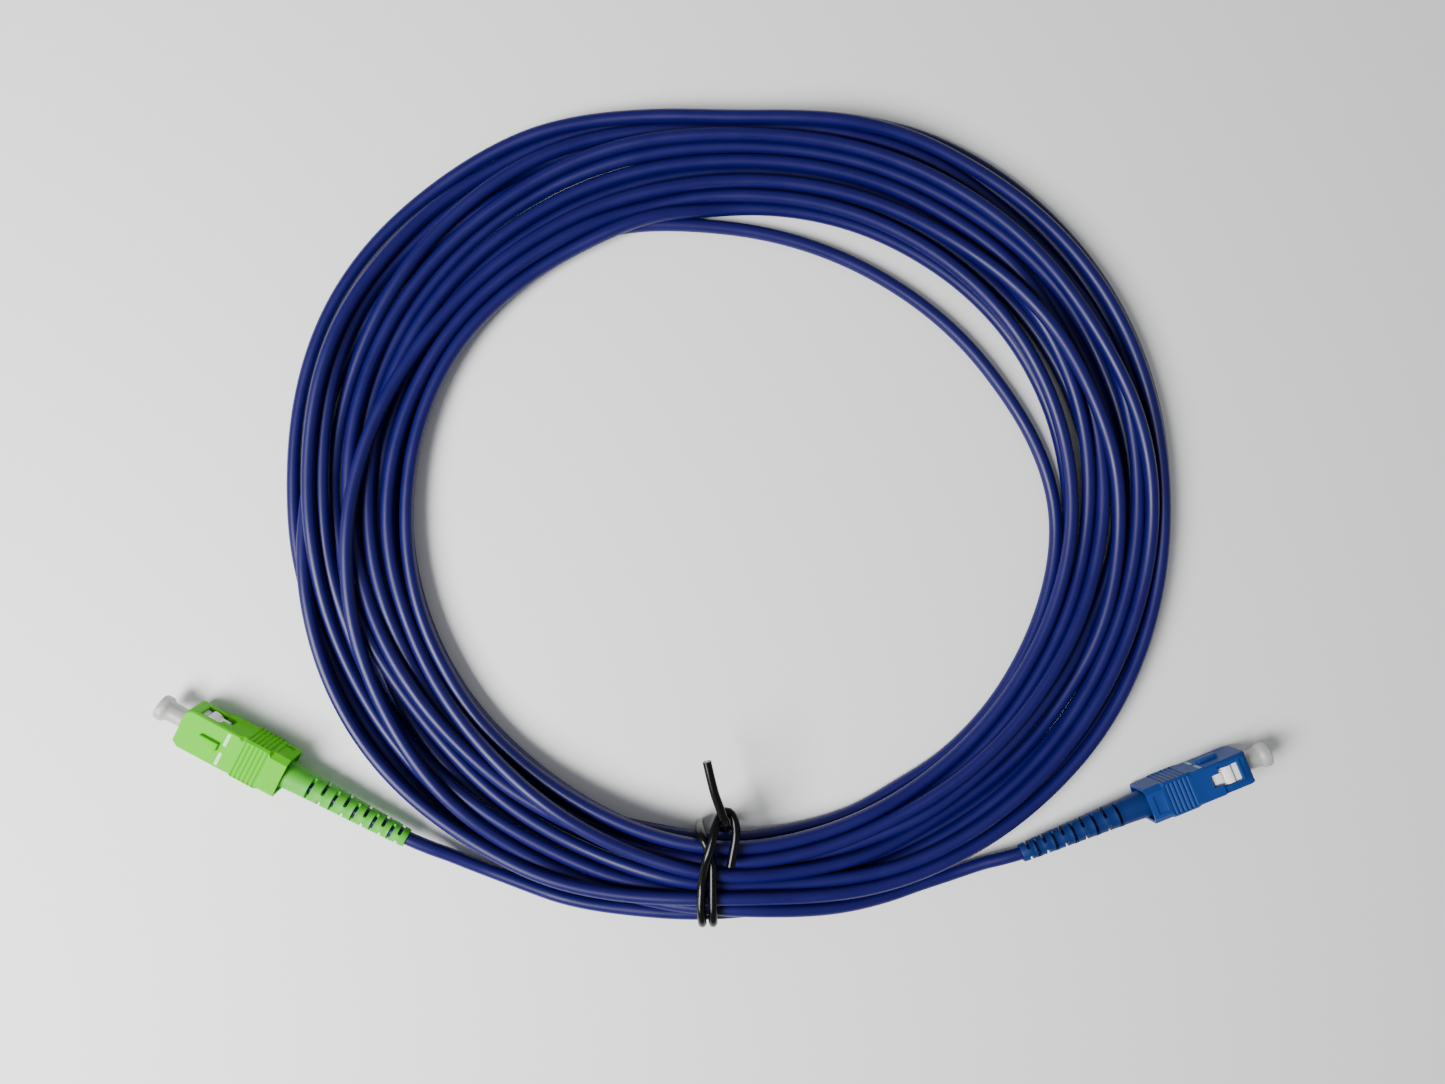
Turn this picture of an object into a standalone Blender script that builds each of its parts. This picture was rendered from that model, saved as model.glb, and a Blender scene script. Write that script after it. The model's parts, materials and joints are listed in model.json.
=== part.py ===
"""Simplex SC fibre optic patch cord: a green angled-polish plug and a blue straight-polish plug on one
3.0 mm cord, coiled into an oval bundle and held with a plastic-coated wire tie.

World frame: metres, +Z up, the floor at z = 0. The origin lies under the middle of the two plugs, with
+X from the green plug towards the blue one and +Y towards the middle of the coil.
Each plug is built in its own frame: +X runs along the ferrule towards the mating end, +Y is the side with
the key and +Z the side with the latch window. Places along it are given as a depth behind the grip's
front face, in millimetres.
"""
import math

import bmesh
import bpy
from mathutils import Vector

MM = 0.001

# Grip, the outer coupling sleeve
GRIP_LENGTH = 23.8
GRIP_FRONT_HALF = (3.7, 4.5)    # half width across Y, half height across Z
GRIP_REAR_HALF = (3.95, 4.7)
GRIP_NOSE_CHAMFER = (1.3, 0.85)
GRIP_RAMP = (12.2, 14.0)
GRIP_FRONT_CAVITY_HALF = (3.1, 3.7)
GRIP_REAR_CAVITY_HALF = (3.3, 4.0)
GRIP_CAVITY_STEP = 12.6
WINDOW_WIDE = (2.55, 7.1, 2.75)  # from, to, half width
WINDOW_SLOT = (6.9, 9.2, 1.3)
KEY_RIB = (4.7, 9.2, 1.0, 0.8)  # from, to, half width, height
GRIP_GROOVE_FIRST = 14.3
GRIP_GROOVE_PITCH = 1.0
GRIP_GROOVES = 6
GRIP_GROOVE_WIDTH = 0.45
GRIP_GROOVE_DEPTH = 0.25
PANEL = (20.2, 22.6, 2.2)

# Plug frame, fixed to the cord; the grip slides along it
FRAME_ENDS = (1.35, 19.2)
FRAME_HALF = (2.8, 3.4)
FRAME_FRONT_BORE = 2.2
FRAME_NECK = (7.0, 8.0, 1.55)
FRAME_REAR_BORE = 2.3
WEDGE = (4.85, 7.4, 1.9)
WEDGE_TAB = (7.2, 9.6, 1.0)
WEDGE_TOP = 3.9

# Ferrule train
FERRULE_RADIUS = 1.25
FERRULE_ENDS = (-0.7, 9.6)
FERRULE_CHAMFER = 0.35
ANGLED_POLISH = math.radians(8)
FLANGE_COLLAR = (8.3, 10.3, 2.0)
FLANGE_POCKET = (9.9, 1.55)
FLANGE_TUBE = (16.0, 0.95, 0.65)
SPRING_ENDS = (10.8, 15.3)
SPRING_RADIUS = 1.6
SPRING_WIRE_RADIUS = 0.18
SPRING_TURNS = 5
FIBRE_ENDS = (10.6, 24.8)
FIBRE_RADIUS = 0.45

# Rear of the plug
BACKBONE_PROFILE = ((2.0, 15.8), (2.0, 19.5), (2.9, 19.5), (2.9, 21.0), (1.55, 21.0), (1.55, 25.5),
                    (1.25, 25.5), (1.25, 15.8))
CRIMP_PROFILE = ((2.1, 21.3), (2.1, 28.0), (1.8, 28.0), (1.8, 21.3))
BOOT_OUTLINE = ((3.0, 21.6), (3.05, 25.0), (2.8, 29.5), (1.98, 54.1))
BOOT_BORE = ((1.62, 54.1), (1.62, 28.7), (2.4, 28.4), (2.4, 21.6))
BOOT_CUTS_A = (31.2, 36.8, 41.8, 46.3, 50.45)
BOOT_CUTS_B = (34.1, 39.4, 44.1, 48.4, 52.3)
BOOT_CUT_WIDTH = 0.8
BOOT_BRIDGE_HALF = 0.8
BOOT_END = 54.1
JACKET_START = 26.4
CAP_PROFILE = ((0.0, -5.2), (2.4, -5.2), (2.75, -4.8), (2.75, -4.0), (2.2, -3.2), (2.05, -2.6), (2.05, 0.7),
               (1.75, 1.0), (1.75, 3.9), (1.48, 3.9), (1.48, -4.0), (0.0, -4.0))

# Where each plug lies: grip front on the axis, heading, nose-up pitch, roll, and how far its grip is back
PLUGS = {
    "green": {"front": (-114.16, 13.81, 5.06), "heading": 150.6, "pitch": 1.0, "roll": 79.5, "grip_back": 1.3},
    "blue": {"front": (115.25, 2.64, 5.27), "heading": 21.7, "pitch": 1.0, "roll": -2.8, "grip_back": 1.0},
}

# Cord
CORD_RADIUS = 1.5
CORD_POINT_SPACING = 7.0
COIL_CENTRE = (1.7, 57.1)
COIL_EDGE = 1.6
# Outer and inner radius and height of the bundle every 15 degrees anticlockwise from +X
COIL_OUTER = (98.7, 99.8, 99.8, 99.1, 96.6, 92.6, 89.9, 91.4, 95.4, 98.2, 98.9, 97.7,
              95.8, 94.3, 94.0, 92.6, 91.0, 88.0, 85.4, 87.6, 90.8, 93.0, 95.8, 97.6)
COIL_INNER = (72.7, 74.7, 76.5, 73.6, 70.0, 68.5, 68.2, 68.2, 68.6, 69.4, 70.6, 70.6,
              70.1, 69.3, 68.7, 67.7, 67.7, 68.5, 68.9, 69.0, 69.8, 71.2, 72.0, 72.6)
COIL_HEIGHT = (7.6, 8.4, 8.4, 8.0, 7.8, 8.0, 7.6, 6.6, 6.2, 6.2, 7.2, 8.0,
               8.4, 8.3, 8.0, 8.8, 10.6, 10.8, 10.4, 8.8, 8.2, 8.6, 8.3, 7.6)
COIL_STEPS = 72
TIE_CHANNEL_LOW = (-6.3, 2.3)  # X range of the room for the tie under the bundle
TIE_CHANNEL_HEIGHT = 2.7
LEAD_GREEN = ((-63.5, -14.3, 3.6), (-59.3, -16.2, 2.7), (-55.1, -18.2, 2.0), (-52.2, -19.6, 1.7))
LEAD_BLUE = ((61.5, -18.2, 3.6), (58.3, -19.1, 2.9), (55.3, -19.9, 2.3))
LOOSE_TURN = ((72.8, 62.0, 1.5), (71.3, 69.0, 1.5), (68.1, 76.3, 1.5), (62.9, 84.9, 1.5), (56.8, 92.8, 1.5),
              (50.5, 99.4, 1.5), (43.5, 105.2, 1.5), (35.9, 110.0, 1.5), (28.5, 113.4, 1.5),
              (20.8, 116.1, 1.5), (12.6, 118.9, 1.5), (3.9, 121.3, 1.5), (-4.1, 122.6, 1.5))

# Wire tie: one run of coated wire, twice round the bundle, hooked on its own tail
TIE_RADIUS = 0.95
TIE_WALL = 0.4
TIE_CORE_RADIUS = 0.28
TIE_POINT_SPACING = 2.4
TIE_ROUTE = (
    (1.3, -16.8, 12.1), (1.8, -14.0, 12.1), (2.4, -10.4, 12.2), (2.3, -7.7, 11.8), (1.6, -6.0, 11.4),
    (0.5, -5.3, 11.2), (-0.8, -5.8, 11.8), (-1.7, -7.3, 12.9), (-2.3, -9.4, 13.8), (-3.0, -12.0, 14.1),
    (-3.8, -14.6, 13.9), (-4.4, -17.4, 12.9), (-4.8, -20.9, 12.1), (-5.0, -24.4, 12.1), (-4.8, -27.2, 11.8),
    (-4.6, -29.2, 10.2), (-4.6, -29.9, 7.0), (-4.6, -29.9, 4.0), (-4.6, -29.3, 1.9), (-4.6, -27.3, 1.1),
    (-4.7, -20.0, 1.0), (-4.8, -13.3, 1.0), (-4.9, -10.6, 1.6), (-5.0, -9.6, 4.0), (-5.1, -9.6, 8.0),
    (-4.9, -10.2, 11.0), (-4.1, -11.6, 12.1), (-3.3, -13.6, 12.1), (-2.6, -16.2, 12.1), (-2.5, -20.0, 12.1),
    (-2.5, -23.7, 12.1), (-2.4, -27.2, 11.8), (-2.3, -29.2, 10.2), (-2.3, -29.9, 7.0), (-2.3, -29.9, 4.0),
    (-2.3, -29.3, 1.9), (-2.2, -27.3, 1.1), (-1.4, -20.0, 1.0), (-0.1, -13.3, 1.0), (0.5, -10.8, 1.6),
    (0.8, -9.6, 3.6), (0.9, -9.3, 6.4), (0.8, -9.2, 9.4), (0.4, -8.2, 11.8), (0.0, -6.9, 13.3),
    (-0.6, -5.2, 14.0), (-1.4, -2.9, 14.3), (-2.1, -0.9, 14.6), (-3.0, 2.6, 15.0), (-3.8, 6.1, 15.3))

COLOURS = {
    "green_plastic": ((0.30, 0.72, 0.16), 0.45, 0.0),
    "green_rubber": ((0.21, 0.52, 0.13), 0.55, 0.0),
    "blue_plastic": ((0.02, 0.13, 0.42), 0.45, 0.0),
    "blue_rubber": ((0.02, 0.15, 0.42), 0.55, 0.0),
    "white_plastic": ((0.85, 0.85, 0.83), 0.45, 0.0),
    "cap_plastic": ((0.80, 0.80, 0.78), 0.35, 0.0),
    "ceramic": ((0.90, 0.90, 0.88), 0.15, 0.0),
    "steel": ((0.60, 0.60, 0.62), 0.30, 1.0),
    "nickel": ((0.72, 0.70, 0.66), 0.30, 1.0),
    "fibre_buffer": ((0.88, 0.86, 0.78), 0.45, 0.0),
    "jacket": ((0.01, 0.02, 0.20), 0.40, 0.0),
    "tie_plastic": ((0.01, 0.01, 0.01), 0.30, 0.0),
}


# ---------------------------------------------------------------- scene helpers

def clear_scene():
    for thing in list(bpy.data.objects):
        bpy.data.objects.remove(thing, do_unlink=True)


def new_collection(name):
    collection = bpy.data.collections.new(name)
    bpy.context.scene.collection.children.link(collection)
    return collection


def make_material(name):
    colour, roughness, metallic = COLOURS[name]
    material = bpy.data.materials.new(name)
    material.use_nodes = True
    shader = material.node_tree.nodes["Principled BSDF"]
    shader.inputs["Base Color"].default_value = (*colour, 1.0)
    shader.inputs["Roughness"].default_value = roughness
    shader.inputs["Metallic"].default_value = metallic
    return material


def add_object(name, data, parent, material=None, collection=None):
    """A named part in the part collection, in its parent's frame."""
    thing = bpy.data.objects.new(name, data)
    (collection or PARTS).objects.link(thing)
    thing.parent = parent
    if material:
        data.materials.append(MATERIALS[material])
    return thing


def add_cutter(name, data, parent):
    cutter = add_object(name, data, parent, collection=CUTTERS)
    cutter.hide_render = True
    cutter.display_type = "WIRE"
    return cutter


def mesh_from(build, name):
    mesh = bpy.data.meshes.new(name)
    work = bmesh.new()
    build(work)
    bmesh.ops.recalc_face_normals(work, faces=work.faces)
    work.to_mesh(mesh)
    work.free()
    return mesh


def boolean(thing, other, operation="DIFFERENCE"):
    modifier = thing.modifiers.new(other.name, "BOOLEAN")
    modifier.operation = operation
    modifier.object = other


def smooth(thing, degrees=40):
    thing.data.shade_smooth()
    thing.data.set_sharp_from_angle(angle=math.radians(degrees))


# ---------------------------------------------------------------- shapes, in a plug's frame

def add_block(work, depth, y_range, z_range):
    """A box between two depths."""
    size = Vector((depth[1] - depth[0], y_range[1] - y_range[0], z_range[1] - z_range[0])) * MM
    middle = Vector((-sum(depth) / 2, sum(y_range) / 2, sum(z_range) / 2)) * MM
    made = bmesh.ops.create_cube(work, size=1.0)["verts"]
    bmesh.ops.scale(work, vec=size, verts=made)
    bmesh.ops.translate(work, vec=middle, verts=made)
    return made


def blocks_mesh(name, blocks):
    """One mesh of separate boxes, each given as (depth range, y range, z range)."""
    def build(work):
        for depth, y_range, z_range in blocks:
            add_block(work, depth, y_range, z_range)
    return mesh_from(build, name)


def turned(name, profile, parent, material, steps=24, closed=True):
    """A body of revolution about the plug's X axis. The profile's points are (radius, depth), from front
    to rear along the outer side and back along the bore, or from axis to axis when it isn't closed."""
    count = len(profile)
    mesh = bpy.data.meshes.new(name)
    points = [(radius * MM, 0.0, -depth * MM) for radius, depth in profile]
    edges = [(i, (i + 1) % count) for i in range(count if closed else count - 1)]
    mesh.from_pydata(points, edges, [])
    thing = add_object(name, mesh, parent, material)
    thing.rotation_euler = (0.0, math.pi / 2, 0.0)
    screw = thing.modifiers.new("turn", "SCREW")
    screw.axis = "Z"
    screw.steps = steps
    screw.render_steps = steps
    screw.use_merge_vertices = True
    screw.merge_threshold = 0.00001
    return thing


def smooth_path(points, spacing):
    """Points a spacing apart on a Catmull-Rom curve through the given points."""
    knots = [Vector(p) for p in points]
    knots = [knots[0] * 2 - knots[1]] + knots + [knots[-1] * 2 - knots[-2]]
    fine = []
    for a, b, c, d in zip(knots, knots[1:], knots[2:], knots[3:]):
        for step in range(24):
            t = step / 24
            fine.append(0.5 * ((2 * b) + (c - a) * t + (2 * a - 5 * b + 4 * c - d) * t ** 2
                               + (3 * b - a - 3 * c + d) * t ** 3))
    fine.append(knots[-2])
    length = sum((q - p).length for p, q in zip(fine, fine[1:]))
    count = max(2, round(length / spacing))
    wanted = [length * i / count for i in range(count + 1)]
    path = []
    walked = 0.0
    target = 0
    for p, q in zip(fine, fine[1:]):
        run = (q - p).length
        while target <= count and wanted[target] <= walked + run + 1e-9:
            path.append(p.lerp(q, (wanted[target] - walked) / run if run else 0.0))
            target += 1
        walked += run
    return path


def tube(name, points, radius, material, parent=None, caps=True):
    """A round wire or cord through points in millimetres."""
    curve = bpy.data.curves.new(name, "CURVE")
    curve.dimensions = "3D"
    curve.bevel_depth = radius * MM
    curve.bevel_resolution = 2
    curve.use_fill_caps = caps
    spline = curve.splines.new("POLY")
    spline.points.add(len(points) - 1)
    for place, point in zip(spline.points, points):
        place.co = (*(Vector(point) * MM), 1.0)
    return add_object(name, curve, parent, material)


def curve_to_mesh(thing):
    """Replaces a curve object by a mesh object of the same name."""
    bpy.context.view_layer.update()
    evaluated = thing.evaluated_get(bpy.context.evaluated_depsgraph_get())
    mesh = bpy.data.meshes.new_from_object(evaluated)
    work = bmesh.new()
    work.from_mesh(mesh)
    bmesh.ops.remove_doubles(work, verts=work.verts, dist=0.000001)
    work.to_mesh(mesh)
    work.free()
    name, place = thing.name, thing.matrix_world.copy()
    curve = thing.data
    bpy.data.objects.remove(thing)
    bpy.data.curves.remove(curve)
    made = bpy.data.objects.new(name, mesh)
    PARTS.objects.link(made)
    made.matrix_world = place
    return made


# ---------------------------------------------------------------- the plug's pieces

def grip_outline(work):
    """Four rectangular sections with chamfered long edges, joined into one closed sleeve blank."""
    nose_run, nose_rise = GRIP_NOSE_CHAMFER
    front_y, front_z = GRIP_FRONT_HALF
    rear_y, rear_z = GRIP_REAR_HALF
    sections = ((0.0, front_y, front_z - nose_rise, 0.3), (nose_run, front_y, front_z, 0.3),
                (GRIP_RAMP[0], front_y, front_z, 0.3), (GRIP_RAMP[1], rear_y, rear_z, 0.7),
                (GRIP_LENGTH, rear_y, rear_z, 0.7))
    rings = []
    for depth, half_y, half_z, edge in sections:
        corners = ((half_y - edge, half_z), (half_y, half_z - edge), (half_y, edge - half_z),
                   (half_y - edge, -half_z), (edge - half_y, -half_z), (-half_y, edge - half_z),
                   (-half_y, half_z - edge), (edge - half_y, half_z))
        rings.append([work.verts.new((-depth * MM, y * MM, z * MM)) for y, z in corners])
    for before, after in zip(rings, rings[1:]):
        for i in range(len(before)):
            j = (i + 1) % len(before)
            work.faces.new((before[i], before[j], after[j], after[i]))
    work.faces.new(rings[0])
    work.faces.new(list(reversed(rings[-1])))


def key_rib(work):
    start, end, half_width, height = KEY_RIB
    base = GRIP_FRONT_HALF[0]
    verts = add_block(work, (start, end), (base - 0.3, base + height), (-half_width, half_width))
    for vert in verts:
        if vert.co.x > -(start + end) / 2 * MM and vert.co.y > base * MM:
            vert.co.x -= 0.7 * MM


def both_sides(depth, half_y, low, high):
    """The same box on the +Z and the -Z side."""
    return [(depth, (-half_y, half_y), (low, high)), (depth, (-half_y, half_y), (-high, -low))]


def make_grip(side, parent):
    name = f"{side}_grip"
    grip = add_object(name, mesh_from(grip_outline, name), parent, f"{side}_plastic")
    rib = add_cutter(f"{name}_key", mesh_from(key_rib, "key"), parent)
    boolean(grip, rib, "UNION")
    front_y, front_z = GRIP_FRONT_CAVITY_HALF
    rear_y, rear_z = GRIP_REAR_CAVITY_HALF
    cuts = {
        "front_cavity": [((-1, GRIP_CAVITY_STEP + 0.2), (-front_y, front_y), (-front_z, front_z))],
        "rear_cavity": [((GRIP_CAVITY_STEP, GRIP_LENGTH + 1), (-rear_y, rear_y), (-rear_z, rear_z))],
        "window": both_sides(WINDOW_WIDE[:2], WINDOW_WIDE[2], 3.2, 5.5),
        "slot": both_sides(WINDOW_SLOT[:2], WINDOW_SLOT[2], 3.3, 5.4),
        "panel": both_sides(PANEL[:2], PANEL[2], GRIP_REAR_HALF[1] - GRIP_GROOVE_DEPTH, 5.5),
        "grooves": [],
    }
    for i in range(GRIP_GROOVES):
        start = GRIP_GROOVE_FIRST + i * GRIP_GROOVE_PITCH
        depth = (start, start + GRIP_GROOVE_WIDTH)
        side_low = GRIP_REAR_HALF[0] - GRIP_GROOVE_DEPTH
        cuts["grooves"] += both_sides(depth, 3.0, GRIP_REAR_HALF[1] - GRIP_GROOVE_DEPTH, 5.5)
        cuts["grooves"] += [(depth, (side_low, 5.0), (-3.7, 3.7)), (depth, (-5.0, -side_low), (-3.7, 3.7))]
    for cut, blocks in cuts.items():
        boolean(grip, add_cutter(f"{name}_{cut}", blocks_mesh(cut, blocks), parent))


def make_plug_frame(side, parent):
    name = f"{side}_plug_frame"
    half_y, half_z = FRAME_HALF
    body = blocks_mesh(name, [(FRAME_ENDS, (-half_y, half_y), (-half_z, half_z))])
    frame = add_object(name, body, parent, "white_plastic")
    wedge = add_cutter(f"{name}_wedge", blocks_mesh("wedge", both_sides(WEDGE[:2], WEDGE[2], 3.0, WEDGE_TOP)),
                       parent)
    tab = add_cutter(f"{name}_tab",
                     blocks_mesh("tab", both_sides(WEDGE_TAB[:2], WEDGE_TAB[2], 2.9, WEDGE_TOP - 0.1)), parent)
    neck_start, neck_end, neck_radius = FRAME_NECK
    bore_profile = ((0.0, -1.0), (FRAME_FRONT_BORE, -1.0), (FRAME_FRONT_BORE, neck_start),
                    (neck_radius, neck_start), (neck_radius, neck_end), (FRAME_REAR_BORE, neck_end),
                    (FRAME_REAR_BORE, 20.0), (0.0, 20.0))
    bore = turned(f"{name}_bore", bore_profile, parent, None, closed=False)
    PARTS.objects.unlink(bore)
    CUTTERS.objects.link(bore)
    bore.hide_render = True
    bore.display_type = "WIRE"
    boolean(frame, wedge, "UNION")
    boolean(frame, tab, "UNION")
    boolean(frame, bore)


def make_ferrule(side, parent, angled):
    front, rear = FERRULE_ENDS
    profile = ((0.0, front), (FERRULE_RADIUS - FERRULE_CHAMFER, front),
               (FERRULE_RADIUS, front + FERRULE_CHAMFER * 1.5), (FERRULE_RADIUS, rear - 0.3),
               (FERRULE_RADIUS - 0.2, rear), (0.0, rear))
    ferrule = turned(f"{side}_ferrule", profile, parent, "ceramic", closed=False)
    smooth(ferrule)
    if angled:
        cutter = add_cutter(f"{side}_polish", blocks_mesh("polish", [((-6, 0), (-3, 3), (-3, 3))]), parent)
        cutter.location = (-(front + 0.05) * MM, 0.0, 0.0)
        cutter.rotation_euler = (0.0, 0.0, ANGLED_POLISH)
        boolean(ferrule, cutter)


def make_flange(side, parent):
    front, collar_rear, collar = FLANGE_COLLAR
    pocket_end, pocket = FLANGE_POCKET
    tube_end, outer, inner = FLANGE_TUBE
    profile = ((collar, front), (collar, collar_rear), (outer, collar_rear), (outer, tube_end),
               (inner, tube_end), (inner, pocket_end), (pocket, pocket_end), (pocket, front))
    smooth(turned(f"{side}_ferrule_flange", profile, parent, "nickel"))


def make_spring(side, parent):
    start, end = SPRING_ENDS
    per_turn = 8
    points = []
    for i in range(SPRING_TURNS * per_turn + 1):
        angle = 2 * math.pi * i / per_turn
        depth = start + (end - start) * i / (SPRING_TURNS * per_turn)
        points.append((-depth, SPRING_RADIUS * math.cos(angle), SPRING_RADIUS * math.sin(angle)))
    tube(f"{side}_ferrule_spring", points, SPRING_WIRE_RADIUS, "steel", parent)


def make_boot(side, parent):
    name = f"{side}_boot"
    boot = turned(name, BOOT_OUTLINE + BOOT_BORE, parent, f"{side}_rubber", steps=20)
    # The blue boot is a quarter turn round from the green one
    cuts_y, cuts_z = (BOOT_CUTS_A, BOOT_CUTS_B) if side == "green" else (BOOT_CUTS_B, BOOT_CUTS_A)
    half_cut = BOOT_CUT_WIDTH / 2
    reach = 4.0
    across_y = [((s - half_cut, s + half_cut), (low, high), (-reach, reach))
                for s in cuts_y for low, high in ((-reach, -BOOT_BRIDGE_HALF), (BOOT_BRIDGE_HALF, reach))]
    across_z = [((s - half_cut, s + half_cut), (-reach, reach), (low, high))
                for s in cuts_z for low, high in ((-reach, -BOOT_BRIDGE_HALF), (BOOT_BRIDGE_HALF, reach))]
    smooth(boot)
    boolean(boot, add_cutter(f"{name}_cuts", blocks_mesh("boot_cuts", across_y + across_z), parent))


def make_plug(side):
    place = PLUGS[side]
    plug = bpy.data.objects.new(f"{side}_plug", None)
    PARTS.objects.link(plug)
    plug.location = Vector(place["front"]) * MM
    plug.rotation_euler = (math.radians(place["roll"]), -math.radians(place["pitch"]),
                           math.radians(place["heading"]))
    sleeve = bpy.data.objects.new(f"{side}_grip_slide", None)
    PARTS.objects.link(sleeve)
    sleeve.parent = plug
    # The place given is the grip's front, so everything fixed to the cord stands forward of a grip pulled back.
    fixed = bpy.data.objects.new(f"{side}_fixed", None)
    PARTS.objects.link(fixed)
    fixed.parent = plug
    fixed.location = (place["grip_back"] * MM, 0.0, 0.0)
    make_grip(side, sleeve)
    make_plug_frame(side, fixed)
    make_ferrule(side, fixed, angled=side == "green")
    make_flange(side, fixed)
    make_spring(side, fixed)
    smooth(turned(f"{side}_backbone", BACKBONE_PROFILE, fixed, "nickel"))
    smooth(turned(f"{side}_crimp_sleeve", CRIMP_PROFILE, fixed, "steel"))
    tube(f"{side}_buffered_fibre", [(-FIBRE_ENDS[0], 0, 0), (-FIBRE_ENDS[1], 0, 0)], FIBRE_RADIUS,
         "fibre_buffer", fixed)
    make_boot(side, fixed)
    smooth(turned(f"{side}_dust_cap", CAP_PROFILE, fixed, "cap_plastic", closed=False))
    bpy.context.view_layer.update()
    return fixed.matrix_world.copy()


# ---------------------------------------------------------------- the cord and its tie

def along_plug(place, depth):
    """A point on a plug's axis, in world millimetres."""
    return (place @ Vector((-depth * MM, 0.0, 0.0))) / MM


def make_lead(side, place, route):
    """The free end of the cord, from inside the boot to the coil."""
    start = [along_plug(place, depth) for depth in (JACKET_START, 36.0, 46.0, BOOT_END - 1.0)]
    tube(f"cord_lead_{side}", smooth_path(start + list(route), CORD_POINT_SPACING / 2), CORD_RADIUS, "jacket")


def ring_value(values, angle):
    """A smooth closed curve through values evenly spaced round the coil."""
    place = angle / (2 * math.pi) * len(values)
    i = math.floor(place)
    t = place - i
    a, b, c, d = (values[(i + k) % len(values)] for k in (-1, 0, 1, 2))
    return 0.5 * (2 * b + (c - a) * t + (2 * a - 5 * b + 4 * c - d) * t ** 2 + (3 * b - a - 3 * c + d) * t ** 3)


def coil_ring(work):
    """The outer shape of the coiled bundle: a ring with eased edges whose width and height vary round it."""
    rings = []
    for step in range(COIL_STEPS):
        angle = 2 * math.pi * step / COIL_STEPS
        outer = ring_value(COIL_OUTER, angle)
        inner = ring_value(COIL_INNER, angle)
        top = ring_value(COIL_HEIGHT, angle)
        section = ((inner + COIL_EDGE, 0.0), (outer - COIL_EDGE, 0.0), (outer, COIL_EDGE),
                   (outer, top - COIL_EDGE), (outer - COIL_EDGE, top), (inner + COIL_EDGE, top),
                   (inner, top - COIL_EDGE), (inner, COIL_EDGE))
        rings.append([work.verts.new(((COIL_CENTRE[0] + radius * math.cos(angle)) * MM,
                                      (COIL_CENTRE[1] + radius * math.sin(angle)) * MM, height * MM))
                      for radius, height in section])
    for k, ring in enumerate(rings):
        following = rings[(k + 1) % COIL_STEPS]
        for i in range(len(ring)):
            j = (i + 1) % len(ring)
            work.faces.new((ring[i], ring[j], following[j], following[i]))


def make_coil():
    coil = add_object("cord_coil", mesh_from(coil_ring, "cord_coil"), None, "jacket")
    low, high = TIE_CHANNEL_LOW
    channel = blocks_mesh("tie_channel", [((-high, -low), (-40.0, -3.0), (-1.0, TIE_CHANNEL_HEIGHT))])
    boolean(coil, add_cutter("tie_channel", channel, None))


def make_tie():
    path = smooth_path(TIE_ROUTE, TIE_POINT_SPACING)
    jacket = curve_to_mesh(tube("tie_jacket", path, TIE_RADIUS, "tie_plastic", caps=False))
    wall = jacket.modifiers.new("wall", "SOLIDIFY")
    wall.thickness = TIE_WALL * MM
    wall.offset = -1.0
    tube("tie_wire", path, TIE_CORE_RADIUS, "steel")


clear_scene()
PARTS = new_collection("fibre_patch_cord")
CUTTERS = new_collection("cutters")
MATERIALS = {name: make_material(name) for name in COLOURS}
MATERIALS[None] = None
green_place = make_plug("green")
blue_place = make_plug("blue")
make_coil()
make_lead("green", green_place, LEAD_GREEN)
make_lead("blue", blue_place, LEAD_BLUE)
tube("cord_loose_turn", smooth_path(LOOSE_TURN, CORD_POINT_SPACING), CORD_RADIUS, "jacket")
make_tie()
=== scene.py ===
"""Looks for a simplex SC fibre optic patch cord, coiled and held with a plastic-coated wire tie.

Metres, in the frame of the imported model: +Z up, the floor at z = 0, +X from the green plug to the blue one.
Plug pieces are built in the plug's own frame, as in the model: +X along the ferrule towards the mating end,
+Y the key's side, +Z the latch window's side, and places along it given as a depth behind the grip's front.
"""

import json
import math

import bmesh
import bpy
import numpy as np
from mathutils import Matrix, Vector


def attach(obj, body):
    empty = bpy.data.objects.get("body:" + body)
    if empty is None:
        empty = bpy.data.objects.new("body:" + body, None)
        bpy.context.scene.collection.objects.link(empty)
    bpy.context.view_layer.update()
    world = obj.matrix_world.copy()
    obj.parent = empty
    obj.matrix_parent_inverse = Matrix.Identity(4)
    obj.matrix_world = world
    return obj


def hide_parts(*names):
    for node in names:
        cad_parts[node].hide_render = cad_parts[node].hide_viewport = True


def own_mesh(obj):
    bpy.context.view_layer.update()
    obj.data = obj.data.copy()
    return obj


MM = 0.001

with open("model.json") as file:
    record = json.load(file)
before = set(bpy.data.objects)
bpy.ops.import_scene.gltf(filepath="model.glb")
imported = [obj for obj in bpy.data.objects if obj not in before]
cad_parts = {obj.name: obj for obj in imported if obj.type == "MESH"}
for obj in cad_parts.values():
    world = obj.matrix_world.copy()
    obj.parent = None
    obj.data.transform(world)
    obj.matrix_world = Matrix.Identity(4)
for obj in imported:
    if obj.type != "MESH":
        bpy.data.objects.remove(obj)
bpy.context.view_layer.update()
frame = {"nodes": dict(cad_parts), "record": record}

# ---------------------------------------------------------------- measures, mm and degrees

PLUGS = {
    "green": {"front": (-114.16, 13.81, 5.06), "heading": 150.6, "pitch": 1.0, "roll": 79.5,
              "grip_back": 1.3},
    "blue": {"front": (115.25, 2.64, 5.27), "heading": 21.7, "pitch": 1.0, "roll": -2.8,
             "grip_back": 1.0},
}
ROOT_BODY = "cord_and_plugs"

CORD_DIAMETER = 3.0
CORD_SPACING = 2.2           # between the points of the cord's curve
JACKET_START = 26.4          # depth in the plug at which the jacket begins
BOOT_END = 54.1
IN_BOOT = (JACKET_START, 36.0, 46.0, BOOT_END - 1.0)  # depths in the plug that the cord runs straight through
COIL_CENTRE = (1.7, 57.1)
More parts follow.
